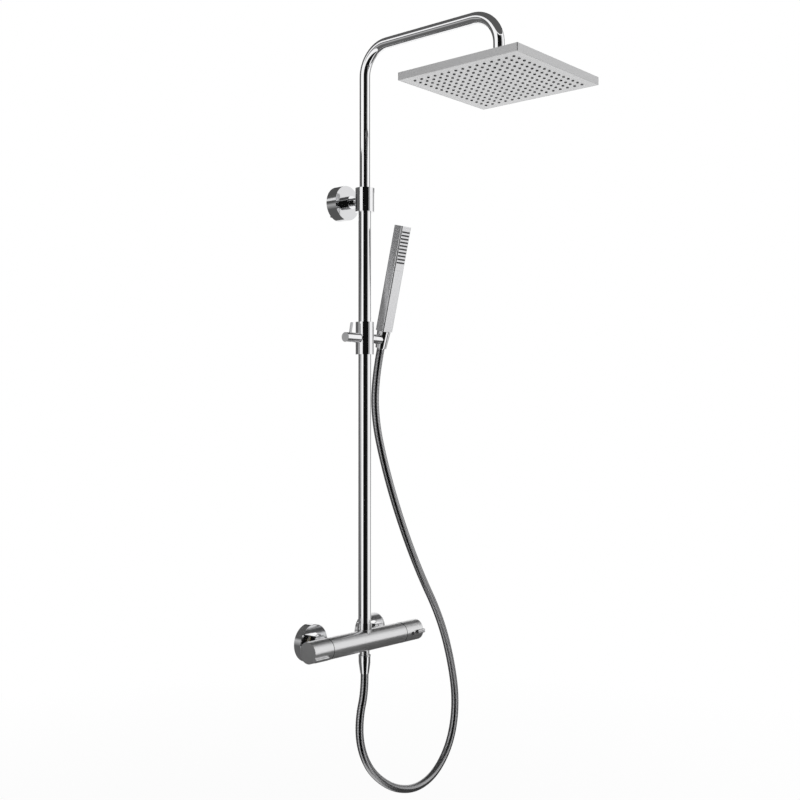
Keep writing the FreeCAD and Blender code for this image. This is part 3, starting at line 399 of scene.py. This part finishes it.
def faceOutwards(mesh):
    # a closed mesh that is inside out has a volume below nought
    shape = bmesh.new()
    shape.from_mesh(mesh)
    if shape.calc_volume(signed=True) < 0:
        bmesh.ops.reverse_faces(shape, faces=shape.faces)
        shape.to_mesh(mesh)
    shape.free()


def roundMesh(name, grid, across):
    # a grid of points closed round its second way, with a face at each end; across holds each row's
    # distance along the piece, for its UV map
    rows, count = grid.shape[:2]
    index = np.arange(rows * count).reshape(rows, count)
    low, high = index[:-1], index[1:]
    quads = np.stack([low, np.roll(low, -1, 1), np.roll(high, -1, 1), high], -1).reshape(-1, 4)
    mesh = bpy.data.meshes.new(name)
    mesh.from_pydata(grid.reshape(-1, 3).tolist(), [],
                     quads.tolist() + [index[0][::-1].tolist(), index[-1].tolist()])
    step = np.arange(count) / count
    turn = np.stack([step, step + 1 / count, step + 1 / count, step], -1)
    turn = np.broadcast_to(turn, (rows - 1, count, 4))
    length = np.stack([across[:-1], across[:-1], across[1:], across[1:]], -1)
    length = np.broadcast_to(length[:, None], (rows - 1, count, 4))
    flat = np.concatenate([np.stack([turn, length], -1).reshape(-1), np.zeros(4 * count)])
    mesh.uv_layers.new(name="winding").data.foreach_set("uv", flat)
    faceOutwards(mesh)
    mesh.shade_smooth()
    return mesh


def makeHose():
    # centre + r (cos a side + sin a up), r lower by the groove's depth times half of 1 - cos of the
    # winding's phase, which grows by a full turn in one pitch along and one turn round
    line = splineLine(hoseRoute())
    steps = np.concatenate([[0], np.cumsum(np.linalg.norm(np.diff(line, axis=0), axis=1))])
    rows = int(steps[-1] / hose["pitch"] * hose["perTurn"])
    along = np.linspace(0, steps[-1], rows)
    centre = np.stack([np.interp(along, steps, line[:, way]) for way in range(3)], -1)
    forward = np.gradient(centre, axis=0)
    kernel = np.ones(hose["smooth"]) / hose["smooth"]
    forward = np.stack([np.convolve(np.pad(forward[:, way], hose["smooth"] // 2, "edge"), kernel, "valid")
                        for way in range(3)], -1)
    forward /= np.linalg.norm(forward, axis=1, keepdims=True)
    side = np.cross(forward, (0, 1, 0))
    side /= np.linalg.norm(side, axis=1, keepdims=True)
    up = np.cross(side, forward)
    turn = np.arange(hose["round"]) * 2 * np.pi / hose["round"]
    phase = 2 * np.pi * along[:, None] / hose["pitch"] + turn
    radius = hose["diameter"] / 2 - hose["grooveDepth"] * (1 - np.cos(phase)) / 2
    grid = centre[:, None] + radius[..., None] * (np.cos(turn)[:, None] * side[:, None]
                                                  + np.sin(turn)[:, None] * up[:, None])
    piece = addObject("shower_hose", roundMesh("shower_hose", grid, along), woundSteel("hose_metal", hose))
    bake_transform(piece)
    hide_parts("hose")
    print("hose made, %.4f m" % steps[-1])


makeHose()


# ---- the seams at the mixer's ends: near-black rings of painted shade in the gaps between the handles and the body

seams = {
    "axisY": -0.063, "radius": 0.0178, "proud": 0.0004, "inset": 0.0012, "soft": 0.0002, "round": 96,
    "roughness": 0.5, "pebble": 1400.0, "pebbleDepth": 0.00001,
    "rings": [("flow_seam_shade", "flow", -0.0938, -0.0926), ("temperature_seam_shade", "temperature", 0.0926, 0.0938)],
    # colour: near black, painted shade for the gap between a handle and the body
    "colour": (0.012, 0.012, 0.013),
}


def latheX(name, profile, count, axisY):
    # a closed profile of (x, r) carried round the mixer's axis: y = axisY + r cos a, z = r sin a
    x, radius = np.array(profile).T
    turn = np.arange(count) * 2 * np.pi / count
    grid = np.stack([np.broadcast_to(x, (count, len(x))), axisY + np.outer(np.cos(turn), radius),
                     np.outer(np.sin(turn), radius)], -1)
    index = np.arange(count * len(x)).reshape(count, len(x))
    after, beside = np.roll(index, -1, 0), np.roll(index, -1, 1)
    quads = np.stack([index, beside, np.roll(after, -1, 1), after], -1).reshape(-1, 4)
    mesh = bpy.data.meshes.new(name)
    mesh.from_pydata(grid.reshape(-1, 3).tolist(), [], quads.tolist())
    faceOutwards(mesh)
    return mesh


def makeSeams():
    # painted shade: a near-black ring with a rubber-like finish fills each gap between a handle and the
    # mixer's body, standing a little proud
    gapShade = moulded("seam_painted_shade", seams["colour"], seams["roughness"], seams["pebble"],
                     seams["pebbleDepth"])
    inner, outer, soft = seams["radius"] - seams["inset"], seams["radius"] + seams["proud"], seams["soft"]
    for name, body, low, high in seams["rings"]:
        profile = [(low, inner), (low, outer - soft), (low + soft, outer), (high - soft, outer),
                   (high, outer - soft), (high, inner)]
        ring = addObject(name, latheX(name, profile, seams["round"], seams["axisY"]), gapShade)
        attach(ring, body)


makeSeams()
print("seams made")


# ---- rounded edges on the machined pieces

softEdges = {
    "angle": 32.0, "segments": 2, "mergeWithin": 0.00001,
    "widths": {0.0004: ["left_union_nut", "right_union_nut", "clamp_lever"]},
}


def softenEdges():
    for width, names in softEdges["widths"].items():
        for name in names:
            weld = nodes[name].modifiers.new("weld", "WELD")
            weld.merge_threshold = softEdges["mergeWithin"]
            bevel = nodes[name].modifiers.new("edges", "BEVEL")
            bevel.width, bevel.segments = width, softEdges["segments"]
            bevel.limit_method, bevel.angle_limit = "ANGLE", math.radians(softEdges["angle"])
            bevel.harden_normals = True


softenEdges()
print("edges softened")
